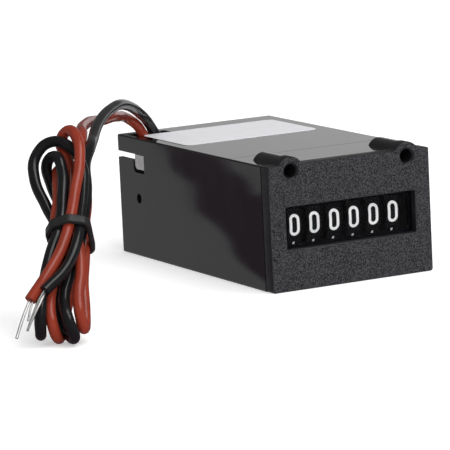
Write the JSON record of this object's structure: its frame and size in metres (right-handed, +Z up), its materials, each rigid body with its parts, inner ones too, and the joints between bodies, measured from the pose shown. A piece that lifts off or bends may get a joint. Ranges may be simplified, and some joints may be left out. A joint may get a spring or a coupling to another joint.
{
  "type": "panel counter",
  "caption": "Electromechanical panel counter: boxy black case, textured bezel with digit window and screw humps, number wheels stepped by a coil, and tied red and black leads.",
  "frame": {"origin": "under the middle of the case, on the surface it stands on", "axes": "front with the window faces -Y, +Z up, +X to the right seen from the front"},
  "size_m": [0.0979, 0.084, 0.0361],
  "materials": {
    "textured_black": "fine moulded grain",
    "gloss_black": "smooth moulded",
    "clear_window": "clear plate",
    "white_label": "matt film",
    "plated_steel": "dull plating",
    "steel_rod": "drawn",
    "soft_iron": "plated",
    "wheel_black": "moulded",
    "pinion_natural": "moulded",
    "bobbin_black": "moulded",
    "copper_winding": "enamelled wire",
    "tinned_metal": "tinned",
    "red_insulation": "smooth",
    "black_insulation": "smooth",
    "black_rubber": "matt"
  },
  "bodies": {
    "housing": {"bezel": "textured_black", "window_lens": "clear_window", "case": "gloss_black", "label": "white_label", "movement_frame": "plated_steel", "wheel_shaft": "steel_rod", "pinion_shaft": "steel_rod", "coil_bobbin": "bobbin_black", "coil_winding": "copper_winding", "coil_core": "soft_iron", "lead_terminals": "tinned_metal", "armature_pin": "steel_rod", "return_spring": "steel_rod", "red_lead": "red_insulation", "black_lead": "black_insulation", "lead_hank": "red_insulation", "lead_tie": "black_rubber", "red_lead_end": "red_insulation", "black_lead_end": "black_insulation", "red_lead_tip": "tinned_metal", "black_lead_tip": "tinned_metal"},
    "armature_lever": {"armature": "soft_iron", "verge": "plated_steel"},
    "wheel_1": {"number_wheel_1": "wheel_black"},
    "wheel_2": {"number_wheel_2": "wheel_black"},
    "wheel_3": {"number_wheel_3": "wheel_black"},
    "wheel_4": {"number_wheel_4": "wheel_black"},
    "wheel_5": {"number_wheel_5": "wheel_black"},
    "wheel_6": {"number_wheel_6": "wheel_black"},
    "pinion_1": {"transfer_pinion_1": "pinion_natural"},
    "pinion_2": {"transfer_pinion_2": "pinion_natural"},
    "pinion_3": {"transfer_pinion_3": "pinion_natural"},
    "pinion_4": {"transfer_pinion_4": "pinion_natural"},
    "pinion_5": {"transfer_pinion_5": "pinion_natural"}
  },
  "joints": [
    {"name": "wheel_1_spin", "type": "hinge", "parent": "housing", "child": "wheel_1", "pos_m": [0, -0.0196, 0.012], "axis": [1, 0, 0], "continuous": true},
    {"name": "wheel_2_spin", "type": "hinge", "parent": "housing", "child": "wheel_2", "pos_m": [0, -0.0196, 0.012], "axis": [1, 0, 0], "continuous": true},
    {"name": "wheel_3_spin", "type": "hinge", "parent": "housing", "child": "wheel_3", "pos_m": [0, -0.0196, 0.012], "axis": [1, 0, 0], "continuous": true},
    {"name": "wheel_4_spin", "type": "hinge", "parent": "housing", "child": "wheel_4", "pos_m": [0, -0.0196, 0.012], "axis": [1, 0, 0], "continuous": true},
    {"name": "wheel_5_spin", "type": "hinge", "parent": "housing", "child": "wheel_5", "pos_m": [0, -0.0196, 0.012], "axis": [1, 0, 0], "continuous": true},
    {"name": "wheel_6_spin", "type": "hinge", "parent": "housing", "child": "wheel_6", "pos_m": [0, -0.0196, 0.012], "axis": [1, 0, 0], "continuous": true},
    {"name": "pinion_1_spin", "type": "hinge", "parent": "housing", "child": "pinion_1", "pos_m": [0, -0.0098, 0.012], "axis": [1, 0, 0], "continuous": true},
    {"name": "pinion_2_spin", "type": "hinge", "parent": "housing", "child": "pinion_2", "pos_m": [0, -0.0098, 0.012], "axis": [1, 0, 0], "continuous": true},
    {"name": "pinion_3_spin", "type": "hinge", "parent": "housing", "child": "pinion_3", "pos_m": [0, -0.0098, 0.012], "axis": [1, 0, 0], "continuous": true},
    {"name": "pinion_4_spin", "type": "hinge", "parent": "housing", "child": "pinion_4", "pos_m": [0, -0.0098, 0.012], "axis": [1, 0, 0], "continuous": true},
    {"name": "pinion_5_spin", "type": "hinge", "parent": "housing", "child": "pinion_5", "pos_m": [0, -0.0098, 0.012], "axis": [1, 0, 0], "continuous": true},
    {"name": "armature_hinge", "type": "hinge", "parent": "housing", "child": "armature_lever", "pos_m": [0, -0.00385, 0.0036], "axis": [-1, 0, 0], "range_deg": [0, 5], "stiffness_Nm_per_rad": 0.004, "springref_deg": -11.46, "deforming": ["return_spring"]}
  ],
  "couplings": [
    {"joint": "pinion_1_spin", "follows": "wheel_2_spin", "ratio": -2.5},
    {"joint": "pinion_2_spin", "follows": "wheel_3_spin", "ratio": -2.5},
    {"joint": "pinion_3_spin", "follows": "wheel_4_spin", "ratio": -2.5},
    {"joint": "pinion_4_spin", "follows": "wheel_5_spin", "ratio": -2.5},
    {"joint": "pinion_5_spin", "follows": "wheel_6_spin", "ratio": -2.5}
  ]
}
